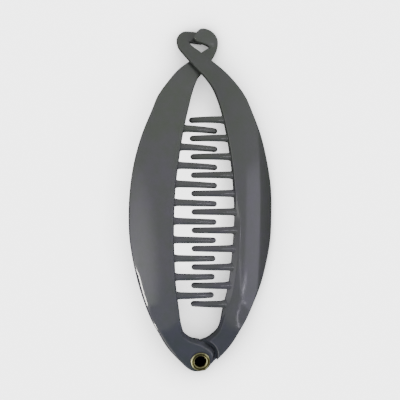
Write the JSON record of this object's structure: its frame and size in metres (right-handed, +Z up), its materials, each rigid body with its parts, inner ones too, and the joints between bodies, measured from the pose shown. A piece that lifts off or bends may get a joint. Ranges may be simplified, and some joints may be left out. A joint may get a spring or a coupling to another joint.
{
  "type": "banana hair clip",
  "caption": "Closed banana hair clip: two arched comb arms with interleaved teeth, turning on a brass eyelet and hooked together at the other end.",
  "frame": {"origin": "middle of the clip's footprint, on the surface that it lies on", "axes": "+Y from the hinge to the hooks, +X towards the right arm, +Z up, out of the arched face"},
  "size_m": [0.049, 0.117, 0.0155],
  "materials": {
    "plastic": "glossy moulded dark grey with a faint mottle",
    "brass": "aged brass, worn bright on its rims"
  },
  "bodies": {
    "left_half": {"left_arm": "plastic", "hinge_eyelet": "brass"},
    "right_half": {"right_arm": "plastic"}
  },
  "joints": [
    {"name": "arm_hinge", "type": "hinge", "parent": "left_half", "child": "right_half", "pos_m": [0.00012, -0.055, 0.00544], "axis": [-0.1357, 0.332, -0.9335], "range_deg": [0, 120]}
  ]
}
